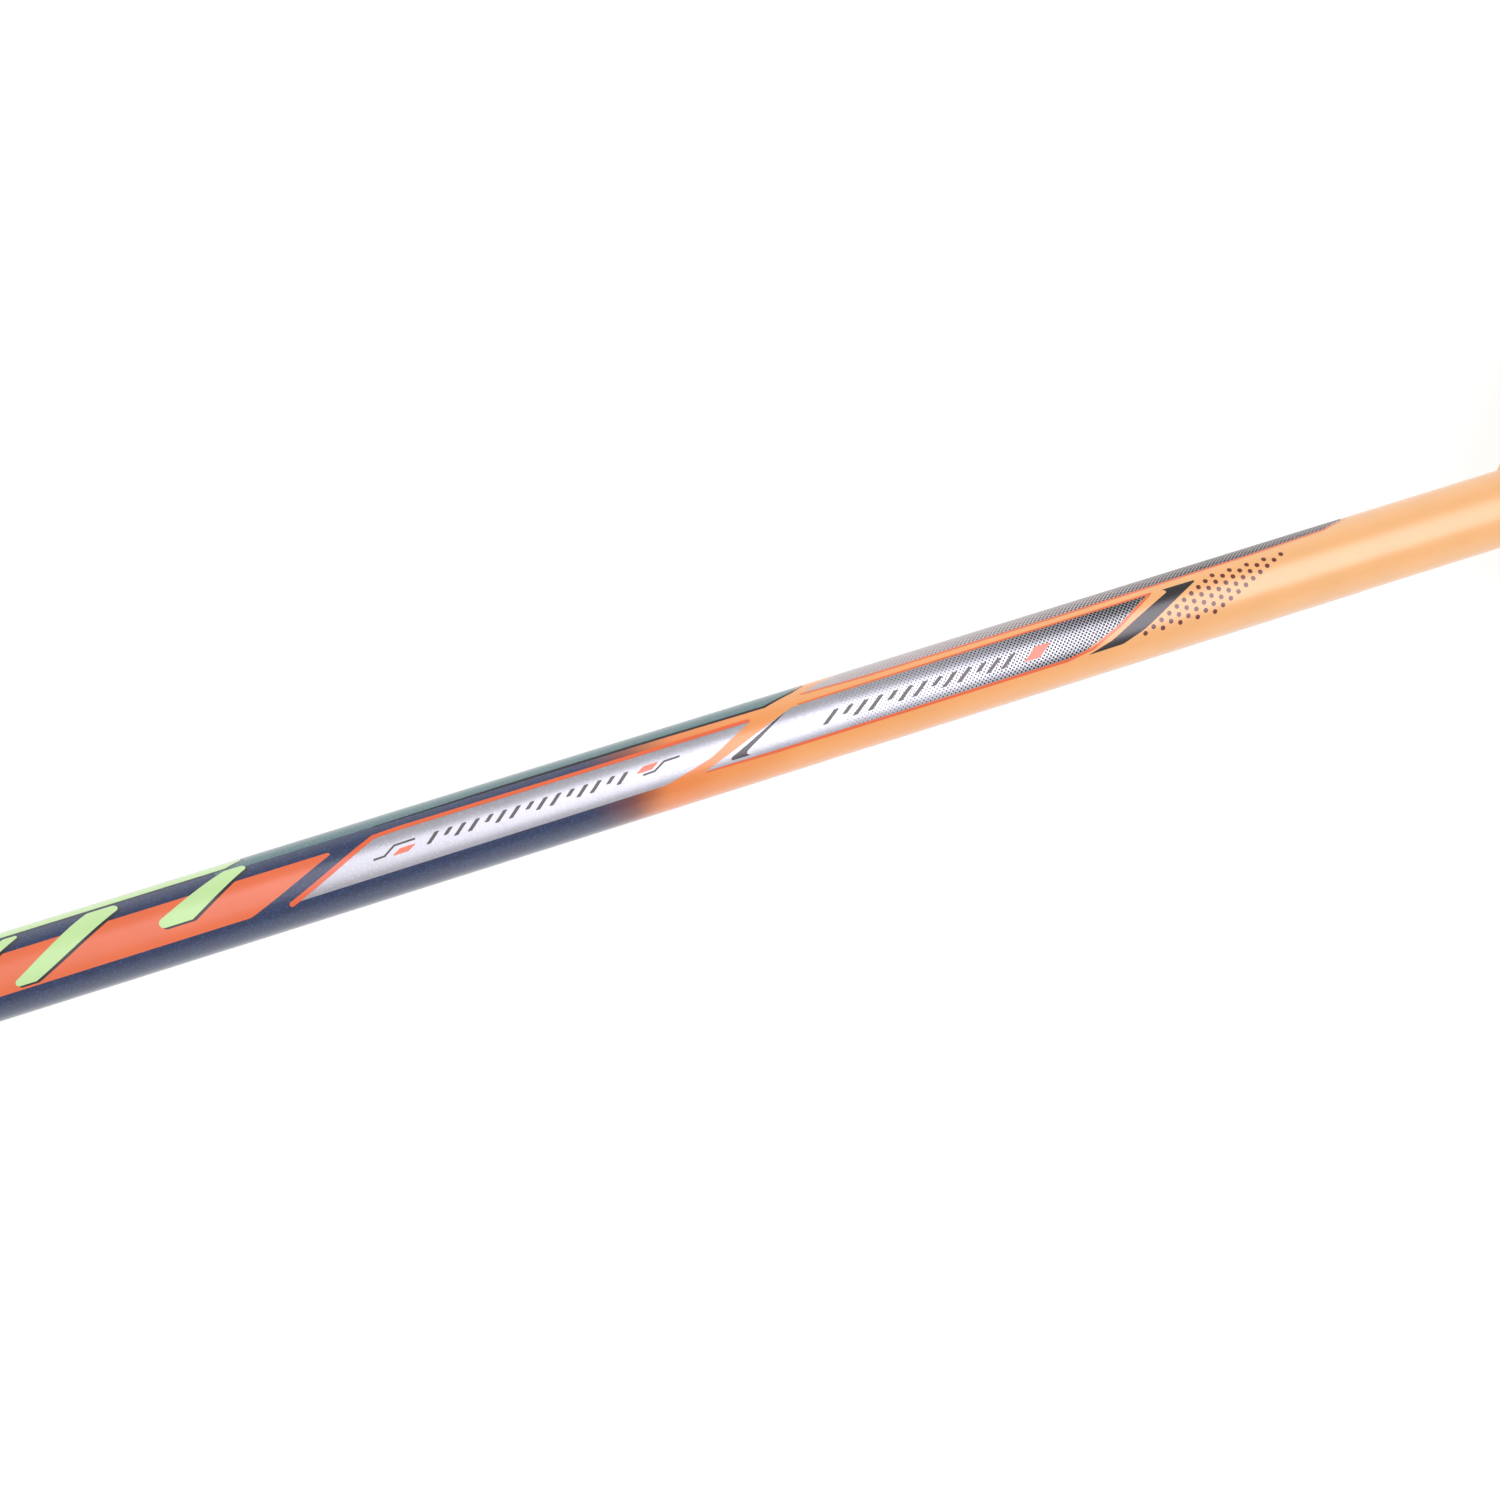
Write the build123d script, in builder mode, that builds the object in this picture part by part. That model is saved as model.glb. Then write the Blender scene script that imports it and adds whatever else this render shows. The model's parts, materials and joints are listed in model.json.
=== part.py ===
"""A carbon badminton racket, strung and gripped, lying flat.

The origin is the centre of the butt cap's end face. +X runs up the handle and shaft to the crown
of the head, +Y lies across the string bed, and +Z is the string bed's normal. Millimetres.
"""

from math import acos, asin, copysign, cos, degrees, dist, pi, radians, sin, tan
import os

from build123d import *

os.makedirs("parts", exist_ok=True)

# ---------------------------------------------------------------- driving dimensions
OVERALL_LENGTH = 675.0
HEAD_WIDTH = 198.0
SHAFT_RADIUS = 3.5
SHAFT_BORE = 2.3
SHAFT_START = 70.0
SHAFT_END = 429.0
PLUG_LENGTH = 8.0
GLUE_GAP = 0.05

# The hoop's tube: "out" is the in-plane distance from its centre line, away from the strings.
HOOP_HALF = 3.8
HOOP_DEPTH = 10.4
HOOP_CORNER = 2.6
HOOP_BOTTOM = 433.0  # the centre line where it crosses the racket's axis, at the throat
HOOP_TOP = OVERALL_LENGTH - HOOP_HALF
GROOVE_WIDTH = 4.2
GROOVE_FLOOR = 2.0
CAVITY_IN = -2.6
CAVITY_OUT = 0.9
CAVITY_DEPTH = 7.6
CAVITY_CORNER = 1.2

# Arcs of the hoop's centre line as (heading where the arc ends, radius); None is worked out below.
# The heading is 90 degrees at the throat, 0 where the head is widest and -90 at the crown.
THROAT_ARC = (55.0, 66.0)
FLANK_ARC = (22.0, None)
SIDE_ARC = (0.0, 170.0)
UPPER_SIDE_ARC = (-10.0, 230.0)
SHOULDER_ARC = (-60.0, None)
CROWN_ARC = (-90.0, None)

JOINT_STEM_START = 392.0
JOINT_STEM_RADIUS = 2.2
JOINT_GAP = 0.1
JOINT_BAR_HEADING = 73.0  # the bar runs from here to the same heading on the other side

# The throat shell's sections: (distance from its start, half width along Y, half thickness along Z).
THROAT_START = 417.8
SHELL_SECTIONS = [
    (0.0, 3.75, 3.75),
    (2.0, 6.2, 4.3),
    (5.4, 10.6, 4.8),
    (9.2, 15.2, 5.05),
    (16.0, 23.0, 5.1),
]
SHELL_CHANNEL = 1.1

STRING_RADIUS = 0.34
MAIN_COUNT = 11  # on each side of the axis
MAIN_FIRST = 4.6
MAIN_PITCH = 8.0
CROSS_COUNT = 21
CROSS_FIRST = 461.0
CROSS_PITCH = 9.75
STRING_OUT = 3.2  # the strings' distance from the centre line where they run in the groove
STRING_SIDE = 0.36  # mains lie this far below the middle plane, crosses leave the hoop as far above
WEAVE_HEIGHT = 0.766
WEAVE_RADIUS = 4.0
FOLD_RADIUS = 0.75
EDGE_RUN = 6.0  # a main this near the hoop is passed above, level with the grommet
LEVEL_RUN = 1.5
GROOVE_STEP = 8.0

GROMMET_BORE = 0.85
GROMMET_BARREL = 1.35
GROMMET_HEAD = 2.0
GROMMET_HEAD_THICKNESS = 0.5
GROMMET_TAIL = 0.9  # how far a barrel stands into the head, past the hoop's wall
GROMMET_EASE = 0.15
HOLE_SPACING = 4.4
SLEEVE_GAP = 0.3  # between a slanted hole's bend inside the head and its sleeve
SLEEVE_SHORT = 1.2  # a slanted sleeve ends this far before the hole does

# A knot is tied round the string that already fills its grommet, so its hole takes both.
KNOT_START = 1.0
KNOT_LENGTH = 1.4
KNOT_HALVES = (1.35, 1.05)  # along Z, and across
KNOT_HOLE = (1.52, 0.8)
KNOT_ROOM = 3.5  # from a knot's grommet to the nearest string that crosses in front of it

# The handle is an octagon: (half width along Y, half thickness along Z) at each station along X.
CORE_START = 2.4
FLARE_END = 38.0
FLARE_STATIONS = [0.0, 6.0, 14.0, 22.0, 30.0, FLARE_END]
CORE_END = 172.0
CORE_SMALL = (11.5, 10.2)
CORE_FLARED = (13.3, 12.0)
FACET_SHARE = 0.30  # each corner facet of the octagon cuts this share of the half sizes
LIGHTENING_BORE = 7.0
LIGHTENING_END = 58.0
SPIGOT_START = 160.0
SPIGOT_DROP = 1.2

CONE_BASE_RADIUS = 12.9
CONE_WAIST = (189.0, 8.0)
CONE_COLLAR = (200.0, 5.6)
CONE_TIP = (205.0, 4.9)
CONE_WALL = 1.5
CONE_BRIDGE = 4.0

CAP_DEPTH = 6.0
CAP_ROUND = 1.8
BOSS_LENGTH = 9.0
BOSS_WALL = 1.2
LABEL_RADIUS = 9.3
LABEL_RECESS = 0.7
LABEL_THICKNESS = 0.5
LABEL_GAP = 0.1

STAPLE_X = (11.0, 16.0)
STAPLE_SPAN = 7.0
STAPLE_LEG = 4.0
STAPLE_WIRE = 0.6
STAPLE_WIDTH = 1.0

GRIP_END = 174.0
GRIP_THICKNESS = 1.7
CAP_GROWTH = GRIP_THICKNESS + 0.2
TAPE_START = 165.0
TAPE_LIP = 1.5
TAPE_THICKNESS = 0.35

# ---------------------------------------------------------------- the hoop's centre line


def turn(radius, start, end):
    """The way travelled, as (along X, along Y), on an arc between two headings in degrees."""
    start, end = radians(start), radians(end)
    return radius * (sin(start) - sin(end)), radius * (cos(end) - cos(start))


def solve_hoop():
    """The arcs as (start heading, end heading, radius), with the three open radii worked out."""
    half = HEAD_WIDTH / 2 - HOOP_HALF
    throat = turn(THROAT_ARC[1], 90, THROAT_ARC[0])
    side = turn(SIDE_ARC[1], FLANK_ARC[0], SIDE_ARC[0])
    flank = turn(1, THROAT_ARC[0], FLANK_ARC[0])
    flank_radius = (half - throat[1] - side[1]) / flank[1]
    upper = turn(UPPER_SIDE_ARC[1], SIDE_ARC[0], UPPER_SIDE_ARC[0])
    shoulder = turn(1, UPPER_SIDE_ARC[0], SHOULDER_ARC[0])
    crown = turn(1, SHOULDER_ARC[0], CROWN_ARC[0])
    rest_x = HOOP_TOP - HOOP_BOTTOM - throat[0] - side[0] - upper[0] - flank_radius * flank[0]
    rest_y = -half - upper[1]
    area = shoulder[0] * crown[1] - shoulder[1] * crown[0]
    shoulder_radius = (rest_x * crown[1] - rest_y * crown[0]) / area
    crown_radius = (shoulder[0] * rest_y - shoulder[1] * rest_x) / area
    arcs = (THROAT_ARC, FLANK_ARC, SIDE_ARC, UPPER_SIDE_ARC, SHOULDER_ARC, CROWN_ARC)
    headings = [90] + [arc[0] for arc in arcs]
    radii = [THROAT_ARC[1], flank_radius, SIDE_ARC[1], UPPER_SIDE_ARC[1], shoulder_radius, crown_radius]
    return list(zip(headings[:-1], headings[1:], radii))


def outward(heading):
    """The hoop's outward normal at a heading, on the +Y side."""
    return -sin(radians(heading)), cos(radians(heading))


ARCS = []  # (start heading, end heading, radius, centre x, centre y, length before it)
here, length = (HOOP_BOTTOM, 0.0), 0.0
for start, end, radius in solve_hoop():
    nx, ny = outward(start)
    ARCS.append((start, end, radius, here[0] - radius * nx, here[1] - radius * ny, length))
    step = turn(radius, start, end)
    here = (here[0] + step[0], here[1] + step[1])
    length += radius * radians(start - end)


def arc_at(heading):
    return next(arc for arc in ARCS if arc[1] <= heading)


def hoop_point(heading, out, side=1):
    """The point at a heading, this far outside the centre line, on the +Y or the -Y side."""
    _, _, radius, cx, cy, _ = arc_at(heading)
    nx, ny = outward(heading)
    return cx + (radius + out) * nx, side * (cy + (radius + out) * ny)


def travelled(heading):
    start, _, radius, _, _, before = arc_at(heading)
    return before + radius * radians(start - heading)


def heading_at_length(distance):
    start, _, radius, _, _, before = [arc for arc in ARCS if arc[5] <= distance][-1]
    return start - degrees((distance - before) / radius)


MOUTH_OUT = -(HOOP_HALF + GROMMET_TAIL)  # the grommets' inner ends
BEND_OUT = MOUTH_OUT - 0.25  # where the strings bend, just clear of them


def heading_at_y(y, upper):
    """The heading of the hole that a main at this y bends into, at the crown or at the throat."""
    for start, end, radius, _, cy, _ in ARCS:
        share = (y - cy) / (radius + BEND_OUT)
        if abs(share) <= 1:
            heading = degrees(acos(share)) * (-1 if upper else 1)
            if end <= heading <= start and (heading < 0) == upper:
                return heading
    raise ValueError(f"no main at y {y}")


def heading_at_x(x):
    """The heading of the hole that a cross at this x bends into."""
    for start, end, radius, cx, _, _ in ARCS:
        share = (cx - x) / (radius + BEND_OUT)
        if abs(share) <= 1 and end <= degrees(asin(share)) <= start:
            return degrees(asin(share))
    raise ValueError(f"no cross at x {x}")


# ---------------------------------------------------------------- string pattern

MAIN_Y = [MAIN_FIRST + MAIN_PITCH * i for i in range(MAIN_COUNT)]
THROAT_HOLES = [heading_at_y(y, False) for y in MAIN_Y]
CROWN_HOLES = [heading_at_y(y, True) for y in MAIN_Y]


def clear_of_mains(heading):
    """A cross's hole, moved onto the nearest main's hole or clear of it, whichever is nearer."""
    here = travelled(heading)
    main = min((travelled(h) for h in THROAT_HOLES + CROWN_HOLES), key=lambda s: abs(s - here))
    gap = here - main
    if abs(gap) >= HOLE_SPACING:
        return heading
    if abs(gap) < HOLE_SPACING / 2:
        return heading_at_length(main)
    return heading_at_length(main + (HOLE_SPACING if gap > 0 else -HOLE_SPACING))


CROSS_HOLES = [clear_of_mains(heading_at_x(CROSS_FIRST + CROSS_PITCH * k)) for k in range(CROSS_COUNT)]
CROSS_X = [hoop_point(h, BEND_OUT)[0] for h in CROSS_HOLES]

# The two mains beside the shaft leave through the throat shell's shoulders, in slanted holes.
SLANT_ANGLES = [25.0, 19.0]
SLANT_LENGTHS = [15.6, 11.0]
SLANTED = len(SLANT_ANGLES)
SLANTED_HOLES = [(i, side) for side in (1, -1) for i in range(SLANTED)]


def slanted_plane(i, side):
    """The plane at a slanted hole's bend inside the head, facing out along the hole."""
    angle = radians(180 - SLANT_ANGLES[i])
    x, y = hoop_point(THROAT_HOLES[i], BEND_OUT, side)
    return Plane(origin=(x, y, 0), z_dir=(cos(angle), side * sin(angle), 0))


def slanted_ends(i, side):
    """A slanted hole's inner and outer ends, in the middle plane."""
    plane = slanted_plane(i, side)
    outer = plane.origin + plane.z_dir * SLANT_LENGTHS[i]
    return (plane.origin.X, plane.origin.Y), (outer.X, outer.Y)


def straight_holes():
    """The headings of every other hole on one side, each once, from the throat to the crown."""
    found = []
    for heading in sorted(THROAT_HOLES[SLANTED:] + CROSS_HOLES + CROWN_HOLES, reverse=True):
        if not found or travelled(heading) - travelled(found[-1]) > HOLE_SPACING / 2:
            found.append(heading)
    return found


STRAIGHT_HOLES = straight_holes()


def hole_locations(headings, sides=(1, -1), out=0.0):
    """Places on the straight holes' axes, with +X pointing out of the hoop."""
    places = []
    for side in sides:
        for heading in headings:
            x, y = hoop_point(heading, out, side)
            places.append(Location((x, y, 0), (0, 0, side * (heading + 90))))
    return places


# ---------------------------------------------------------------- shared shapes


def round_bar(start, end, radius, mode=Mode.ADD):
    """A plain cylinder on the racket's axis, in the current part."""
    with BuildSketch(Plane.YZ.offset(start)) as section:
        Circle(radius)
    extrude(section.sketch, amount=end - start, mode=mode)


def drill_slanted(radius):
    """The four slanted holes, cut from the current part."""
    lead, overrun = 1.0, 3.0
    for i, side in SLANTED_HOLES:
        with BuildSketch(slanted_plane(i, side).offset(-lead)) as section:
            Circle(radius)
        extrude(section.sketch, amount=lead + SLANT_LENGTHS[i] + overrun, mode=Mode.SUBTRACT)


def sketch_cavity(gap=0.0):
    """The section of the hollow in the hoop's tube, drawn in on all sides by the gap."""
    with Locations(((CAVITY_IN + CAVITY_OUT) / 2, 0)):
        RectangleRounded(CAVITY_OUT - CAVITY_IN - 2 * gap, CAVITY_DEPTH - 2 * gap, CAVITY_CORNER - gap)


def octagon(half_y, half_z):
    """An octagon on the current sketch plane, with its corner facets cut evenly."""
    cut = FACET_SHARE * (half_y + half_z)
    quarter = [(half_y, half_z - cut), (half_y - cut, half_z)]
    left = [(-y, z) for y, z in reversed(quarter)]
    below = [(-y, -z) for y, z in quarter + left]
    Polygon(*quarter, *left, *below, align=None)


def handle_sizes(x):
    """The core's half sizes at a station: flared at the butt, then straight."""
    if x >= FLARE_END:
        return CORE_SMALL
    share = (1 + cos(pi * x / FLARE_END)) / 2
    return tuple(small + (flared - small) * share for small, flared in zip(CORE_SMALL, CORE_FLARED))


def handle_solid(start, end, growth, mode=Mode.ADD):
    """The handle's shape between two stations, grown outwards all round, in the current part."""
    sections = []
    for x in [start] + [x for x in FLARE_STATIONS if start < x < end] + [end]:
        with BuildSketch(Plane.YZ.offset(x)) as section:
            octagon(*(size + growth for size in handle_sizes(x)))
        sections.append(section.sketch)
    loft(sections, ruled=True, mode=mode)


# ---------------------------------------------------------------- head frame

with BuildLine() as half_line:
    point = (HOOP_BOTTOM, 0)
    for start, end, radius, *_ in ARCS:
        heading = (cos(radians(start)), sin(radians(start)))
        arc = JernArc(start=point, tangent=heading, radius=radius, arc_size=end - start)
        point = arc @ 1

HALF_PATH = half_line.wire()
SECTION_PLANE = Plane(origin=(HOOP_BOTTOM, 0, 0), x_dir=(-1, 0, 0), z_dir=(0, 1, 0))

with BuildPart() as hoop_blank:
    with BuildSketch(SECTION_PLANE):
        RectangleRounded(2 * HOOP_HALF, HOOP_DEPTH, HOOP_CORNER)
        with Locations((HOOP_HALF, 0)):
            Rectangle(2 * (HOOP_HALF - GROOVE_FLOOR), GROOVE_WIDTH, mode=Mode.SUBTRACT)
    sweep(path=HALF_PATH)
    mirror(about=Plane.XZ)

with BuildPart() as cavity:
    with BuildSketch(SECTION_PLANE):
        sketch_cavity()
    sweep(path=HALF_PATH)
    mirror(about=Plane.XZ)

with BuildPart() as head_frame:
    add(hoop_blank.part)
    add(cavity.part, mode=Mode.SUBTRACT)
    with Locations(*hole_locations(STRAIGHT_HOLES)):
        Cylinder(GROMMET_BARREL, 3 * HOOP_HALF, rotation=(0, 90, 0), mode=Mode.SUBTRACT)
    drill_slanted(GROMMET_BARREL)
    round_bar(HOOP_BOTTOM - 2 * HOOP_HALF, HOOP_BOTTOM, JOINT_STEM_RADIUS, Mode.SUBTRACT)

head_frame.part.label = "head_frame"
export_step(head_frame.part, "parts/head_frame.step")

# ---------------------------------------------------------------- throat: joint and shell

with BuildPart() as t_joint:
    with BuildSketch(SECTION_PLANE):
        sketch_cavity(JOINT_GAP)
    throat_centre = Axis((HOOP_BOTTOM + THROAT_ARC[1], 0, 0), (0, 0, 1))
    revolve(axis=throat_centre, revolution_arc=JOINT_BAR_HEADING - 90)
    mirror(about=Plane.XZ)
    round_bar(JOINT_STEM_START, HOOP_BOTTOM, JOINT_STEM_RADIUS)
    drill_slanted(GROMMET_BARREL + JOINT_GAP)

t_joint.part.label = "t_joint"
export_step(t_joint.part, "parts/t_joint.step")

with BuildPart() as throat_shell:
    for distance, half_y, half_z in SHELL_SECTIONS:
        with BuildSketch(Plane.YZ.offset(THROAT_START + distance)):
            Ellipse(half_y, half_z)
    loft()
    add(hoop_blank.part, mode=Mode.SUBTRACT)
    round_bar(THROAT_START - HOOP_HALF, HOOP_BOTTOM, SHAFT_RADIUS, Mode.SUBTRACT)
    drill_slanted(GROMMET_BARREL)
    for side in (1, -1):
        first, last = slanted_ends(0, side)[1], slanted_ends(1, side)[1]
        with BuildSketch(Plane(origin=(*first, 0), x_dir=(last[0] - first[0], last[1] - first[1], 0))):
            with Locations((dist(first, last) / 2, 0)):
                SlotCenterToCenter(dist(first, last), 2 * SHELL_CHANNEL)
        extrude(amount=GROMMET_BARREL, both=True, mode=Mode.SUBTRACT)

throat_shell.part.label = "throat_shell"
export_step(throat_shell.part, "parts/throat_shell.step")

# ---------------------------------------------------------------- shaft

with BuildPart() as shaft:
    round_bar(SHAFT_START, SHAFT_END, SHAFT_RADIUS)
    round_bar(SHAFT_START, SHAFT_END, SHAFT_BORE, Mode.SUBTRACT)

shaft.part.label = "shaft"
export_step(shaft.part, "parts/shaft.step")

with BuildPart() as shaft_plug:
    round_bar(SHAFT_START, SHAFT_START + PLUG_LENGTH, SHAFT_BORE)

shaft_plug.part.label = "shaft_plug"
export_step(shaft_plug.part, "parts/shaft_plug.step")

# ---------------------------------------------------------------- grommets

HEAD_TOP = GROOVE_FLOOR + GROMMET_HEAD_THICKNESS
GROMMET_LENGTH = HEAD_TOP - MOUTH_OUT

# One grommet, along +X: the top of its head is at the origin and its barrel runs back from there.
with BuildPart() as grommet:
    with BuildSketch(Plane.XZ):
        with BuildLine():
            Polyline(
                (0, GROMMET_BORE + GROMMET_EASE),
                (0, GROMMET_HEAD - GROMMET_EASE),
                (-GROMMET_EASE, GROMMET_HEAD),
                (-GROMMET_HEAD_THICKNESS, GROMMET_HEAD),
                (-GROMMET_HEAD_THICKNESS, GROMMET_BARREL),
                (GROMMET_EASE - GROMMET_LENGTH, GROMMET_BARREL),
                (-GROMMET_LENGTH, GROMMET_BARREL - GROMMET_EASE),
                (-GROMMET_LENGTH, GROMMET_BORE + GROMMET_EASE),
                (GROMMET_EASE - GROMMET_LENGTH, GROMMET_BORE),
                (-GROMMET_EASE, GROMMET_BORE),
                close=True,
            )
        make_face()
    revolve(axis=Axis.X)

CROWN_HEADING = -22.0
THROAT_HEADING = 15.0
CROWN_GROUP = [h for h in STRAIGHT_HOLES if h < CROWN_HEADING]
SIDE_GROUP = [h for h in STRAIGHT_HOLES if CROWN_HEADING <= h < THROAT_HEADING]
THROAT_GROUP = [h for h in STRAIGHT_HOLES if h >= THROAT_HEADING]

with BuildPart() as crown_grommets:
    with Locations(*hole_locations(CROWN_GROUP, out=HEAD_TOP)):
        add(grommet.part)

crown_grommets.part.label = "crown_grommets"
export_step(crown_grommets.part, "parts/crown_grommets.step")

with BuildPart() as left_grommets:
    with Locations(*hole_locations(SIDE_GROUP, (1,), HEAD_TOP)):
        add(grommet.part)

left_grommets.part.label = "left_grommets"
export_step(left_grommets.part, "parts/left_grommets.step")

with BuildPart() as right_grommets:
    with Locations(*hole_locations(SIDE_GROUP, (-1,), HEAD_TOP)):
        add(grommet.part)

right_grommets.part.label = "right_grommets"
export_step(right_grommets.part, "parts/right_grommets.step")

with BuildPart() as throat_grommets:
    with Locations(*hole_locations(THROAT_GROUP, out=HEAD_TOP)):
        add(grommet.part)

throat_grommets.part.label = "throat_grommets"
export_step(throat_grommets.part, "parts/throat_grommets.step")

with BuildPart() as throat_sleeves:
    for i, side in SLANTED_HOLES:
        with BuildSketch(slanted_plane(i, side).offset(SLEEVE_GAP)):
            Circle(GROMMET_BARREL)
            Circle(GROMMET_BORE, mode=Mode.SUBTRACT)
        extrude(amount=SLANT_LENGTHS[i] - SLEEVE_GAP - SLEEVE_SHORT)

throat_sleeves.part.label = "throat_sleeves"
export_step(throat_sleeves.part, "parts/throat_sleeves.step")

# ---------------------------------------------------------------- the strings' routes

# A route is a list of (point, largest corner radius there), where None leaves the radius open.
MAIN_Z = -STRING_SIDE
CROSS_Z = STRING_SIDE


def through_hole(heading, side, z, inwards):
    """The outer and the inner bend of a string in a straight grommet, in the order it meets them."""
    outer = ((*hoop_point(heading, STRING_OUT, side), z), FOLD_RADIUS)
    inner = ((*hoop_point(heading, BEND_OUT, side), z), FOLD_RADIUS)
    return [outer, inner] if inwards else [inner, outer]


def through_slanted_hole(i, side, inwards):
    inner, outer = (((*point, MAIN_Z), FOLD_RADIUS) for point in slanted_ends(i, side))
    return [outer, inner] if inwards else [inner, outer]


def along_groove(start, end, side, z):
    """Points in the groove between two holes, none where the holes are near each other."""
    distance = travelled(end) - travelled(start)
    count = int(abs(distance) // GROOVE_STEP)
    lengths = [travelled(start) + distance * (i + 1) / (count + 1) for i in range(count)]
    return [((*hoop_point(heading_at_length(s), STRING_OUT, side), z), None) for s in lengths]


def knot_centre(hole, side, inward, distance):
    x, y = hoop_point(hole, BEND_OUT, side)
    return x + inward[0] * distance, y + inward[1] * distance


def tied_end(hole, next_hole, side, z, inward):
    """A string's end: from inside its knot out through a hole, and on along the groove."""
    tail = (*knot_centre(hole, side, inward, KNOT_START + KNOT_LENGTH), z)
    return [(tail, None), *through_hole(hole, side, z, False), *along_groove(hole, next_hole, side, z)]


# Each string ends beyond its outermost run, in the nearest hole with room for the knot.
MAIN_TIE = max(h for h in CROSS_HOLES if hoop_point(h, BEND_OUT)[1] - MAIN_Y[-1] > KNOT_ROOM)
FIRST_CROSS_TIE = min(h for h in THROAT_HOLES if CROSS_X[0] - hoop_point(h, BEND_OUT)[0] > KNOT_ROOM)
LAST_CROSS_TIE = max(h for h in CROWN_HOLES if hoop_point(h, BEND_OUT)[0] - CROSS_X[-1] > KNOT_ROOM)
LAST_CROSS_SIDE = 1 if CROSS_COUNT % 2 == 0 else -1


def main_route():
    """Up and down the mains, from the outermost on +Y to the outermost on -Y."""
    route = tied_end(MAIN_TIE, THROAT_HOLES[-1], 1, MAIN_Z, (0, -1))
    order = [(i, 1) for i in reversed(range(MAIN_COUNT))] + [(i, -1) for i in range(MAIN_COUNT)]
    for number, (i, side) in enumerate(order):
        upwards = number % 2 == 0
        near, far = (THROAT_HOLES, CROWN_HOLES) if upwards else (CROWN_HOLES, THROAT_HOLES)
        last_i, last_side = order[number - 1]
        if number and last_side == side and not (upwards and i < SLANTED):
            route += along_groove(near[last_i], near[i], side, MAIN_Z)
        if upwards and i < SLANTED:
            route += through_slanted_hole(i, side, True)
        else:
            route += through_hole(near[i], side, MAIN_Z, True)
        if not upwards and i < SLANTED:
            route += through_slanted_hole(i, side, False)
        else:
            route += through_hole(far[i], side, MAIN_Z, False)
    return route + tied_end(MAIN_TIE, THROAT_HOLES[-1], -1, MAIN_Z, (0, 1))[::-1]


MAIN_ENDS = [[hoop_point(h, BEND_OUT)[0] for h in pair] for pair in zip(THROAT_HOLES, CROWN_HOLES)]
ALL_MAINS = sorted(MAIN_Y + [-y for y in MAIN_Y])


def crossings(k, side):
    """Where cross k passes the mains: over one, under the next, and above those beside the hoop."""
    mouth_y = hoop_point(CROSS_HOLES[k], BEND_OUT)[1]
    points = []
    for number, y in enumerate(ALL_MAINS):
        low, high = MAIN_ENDS[MAIN_Y.index(abs(y))]
        if not low + STRING_RADIUS < CROSS_X[k] < high - STRING_RADIUS:
            continue
        if mouth_y - abs(y) < EDGE_RUN:
            level_y = copysign(min(abs(y), mouth_y - LEVEL_RUN), y)
            points.append(((CROSS_X[k], level_y, CROSS_Z), WEAVE_RADIUS))
        else:
            over = 1 if (number + k) % 2 == 0 else -1
            points.append(((CROSS_X[k], y, MAIN_Z + over * WEAVE_HEIGHT), WEAVE_RADIUS))
    return points[::-1] if side > 0 else points


def cross_route():
    """To and fro across the head, from the cross nearest the throat up to the crown."""
    route = tied_end(FIRST_CROSS_TIE, CROSS_HOLES[0], 1, CROSS_Z, (1, 0))
    for k, heading in enumerate(CROSS_HOLES):
        side = 1 if k % 2 == 0 else -1
        if k:
            route += along_groove(CROSS_HOLES[k - 1], heading, side, CROSS_Z)
        route += through_hole(heading, side, CROSS_Z, True)
        route += crossings(k, side)
        route += through_hole(heading, -side, CROSS_Z, False)
    return route + tied_end(LAST_CROSS_TIE, CROSS_HOLES[-1], LAST_CROSS_SIDE, CROSS_Z, (-1, 0))[::-1]


def corner_radii(route):
    """Each corner's radius: as large as its two runs allow, and no larger than the route says."""
    radii = []
    for (a, _), (b, limit), (c, _) in zip(route, route[1:], route[2:]):
        before, after = Vector(*b) - Vector(*a), Vector(*c) - Vector(*b)
        half_turn = radians(before.get_angle(after)) / 2
        largest = 0.45 * min(before.length, after.length) / tan(half_turn)
        radii.append(min(largest, limit or largest))
    return radii


# ---------------------------------------------------------------- strings and knots

MAIN_ROUTE = main_route()
CROSS_ROUTE = cross_route()

with BuildPart() as main_string:
    with BuildLine() as main_line:
        FilletPolyline(*[point for point, _ in MAIN_ROUTE], radius=corner_radii(MAIN_ROUTE))
    with BuildSketch(Plane(origin=main_line.wire() @ 0, z_dir=main_line.wire() % 0)):
        Circle(STRING_RADIUS)
    sweep(path=main_line.wire())

main_string.part.label = "main_string"
export_step(main_string.part, "parts/main_string.step")

with BuildPart() as cross_string:
    with BuildLine() as cross_line:
        FilletPolyline(*[point for point, _ in CROSS_ROUTE], radius=corner_radii(CROSS_ROUTE))
    with BuildSketch(Plane(origin=cross_line.wire() @ 0, z_dir=cross_line.wire() % 0)):
        Circle(STRING_RADIUS)
    sweep(path=cross_line.wire())

cross_string.part.label = "cross_string"
export_step(cross_string.part, "parts/cross_string.step")

KNOTS = [
    (MAIN_TIE, 1, (0, -1)),
    (MAIN_TIE, -1, (0, 1)),
    (FIRST_CROSS_TIE, 1, (1, 0)),
    (LAST_CROSS_TIE, LAST_CROSS_SIDE, (-1, 0)),
]

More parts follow.
